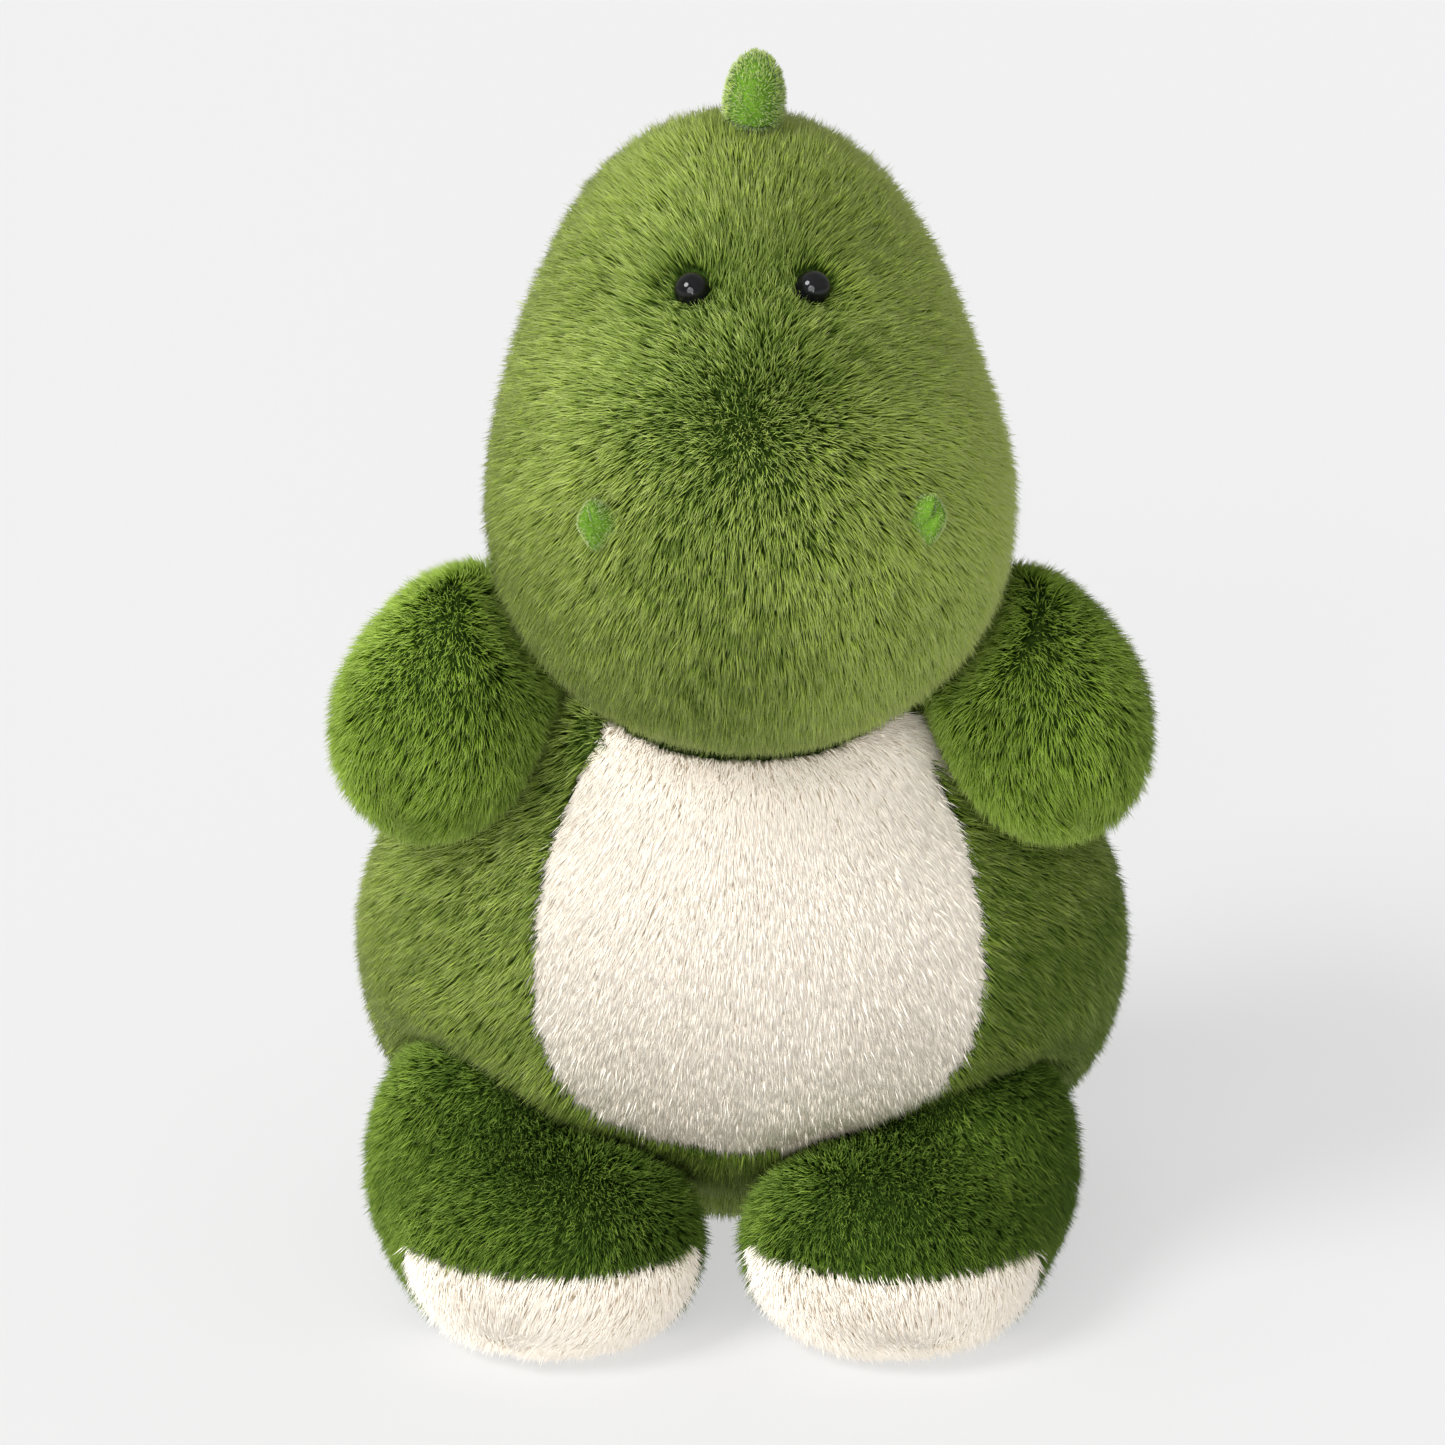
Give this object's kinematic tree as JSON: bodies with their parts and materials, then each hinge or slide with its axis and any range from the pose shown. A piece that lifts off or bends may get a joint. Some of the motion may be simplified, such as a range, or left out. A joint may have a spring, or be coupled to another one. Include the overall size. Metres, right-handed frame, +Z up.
{
  "type": "stuffed dinosaur",
  "caption": "Seated plush dinosaur with a big snout, round cream belly, stub arms and legs, a tail and a row of padded spines.",
  "frame": {"origin": "on the surface it sits on, at the middle of its box", "axes": "+Z up, it faces -Y, +X is its left side"},
  "size_m": [0.2474, 0.3032, 0.3776],
  "materials": {
    "green_plush": "long soft pile",
    "cream_plush": "long soft pile",
    "lime_minky": "short velvety pile",
    "fibre_filling": "loose fibre",
    "bean_cloth": "plain weave",
    "eye_plastic": "gloss",
    "washer_plastic": "moulded"
  },
  "bodies": {
    "body": {"body_cloth": "green_plush", "belly_panel": "cream_plush", "body_filling": "fibre_filling", "bean_bag": "bean_cloth", "back_spine_upper": "lime_minky", "back_spine_middle": "lime_minky", "back_spine_lower": "lime_minky"},
    "neck": {"neck_wad": "fibre_filling"},
    "head": {"head_cloth": "green_plush", "head_filling": "fibre_filling", "left_eye": "eye_plastic", "right_eye": "eye_plastic", "left_eye_washer": "washer_plastic", "right_eye_washer": "washer_plastic", "left_nostril": "lime_minky", "right_nostril": "lime_minky", "crown_spine": "lime_minky", "head_spine_middle": "lime_minky", "head_spine_rear": "lime_minky"},
    "left_arm": {"left_arm_cloth": "green_plush", "left_arm_filling": "fibre_filling"},
    "right_arm": {"right_arm_cloth": "green_plush", "right_arm_filling": "fibre_filling"},
    "left_leg": {"left_leg_cloth": "green_plush", "left_toe_cap": "cream_plush", "left_leg_filling": "fibre_filling"},
    "right_leg": {"right_leg_cloth": "green_plush", "right_toe_cap": "cream_plush", "right_leg_filling": "fibre_filling"},
    "tail": {"tail_cloth": "green_plush", "tail_filling": "fibre_filling", "tail_spine_root": "lime_minky", "tail_spine_middle": "lime_minky", "tail_spine_tip": "lime_minky"}
  },
  "joints": [
    {"name": "head_turn", "type": "hinge", "parent": "body", "child": "neck", "pos_m": [0.001, -0.0396, 0.228], "axis": [0, 0, 1], "range_deg": [-12, 12], "stiffness_Nm_per_rad": 0.6},
    {"name": "head_nod", "type": "hinge", "parent": "neck", "child": "head", "pos_m": [0.001, -0.0396, 0.228], "axis": [-1, 0, 0], "range_deg": [-6, 8], "stiffness_Nm_per_rad": 1.5},
    {"name": "left_arm_swing", "type": "hinge", "parent": "body", "child": "left_arm", "pos_m": [0.076, -0.0316, 0.19], "axis": [0, 0, 1], "range_deg": [0, 35], "stiffness_Nm_per_rad": 0.05},
    {"name": "right_arm_swing", "type": "hinge", "parent": "body", "child": "right_arm", "pos_m": [-0.076, -0.0316, 0.19], "axis": [0, 0, -1], "range_deg": [0, 35], "stiffness_Nm_per_rad": 0.05},
    {"name": "left_leg_splay", "type": "hinge", "parent": "body", "child": "left_leg", "pos_m": [0.06, -0.0636, 0.032], "axis": [0, 0, 1], "range_deg": [0, 20], "stiffness_Nm_per_rad": 0.3},
    {"name": "right_leg_splay", "type": "hinge", "parent": "body", "child": "right_leg", "pos_m": [-0.072, -0.0636, 0.032], "axis": [0, 0, -1], "range_deg": [0, 20], "stiffness_Nm_per_rad": 0.3},
    {"name": "tail_wag", "type": "hinge", "parent": "body", "child": "tail", "pos_m": [0, 0.0564, 0.04], "axis": [0, 0, 1], "range_deg": [-18, 18], "stiffness_Nm_per_rad": 0.3}
  ]
}
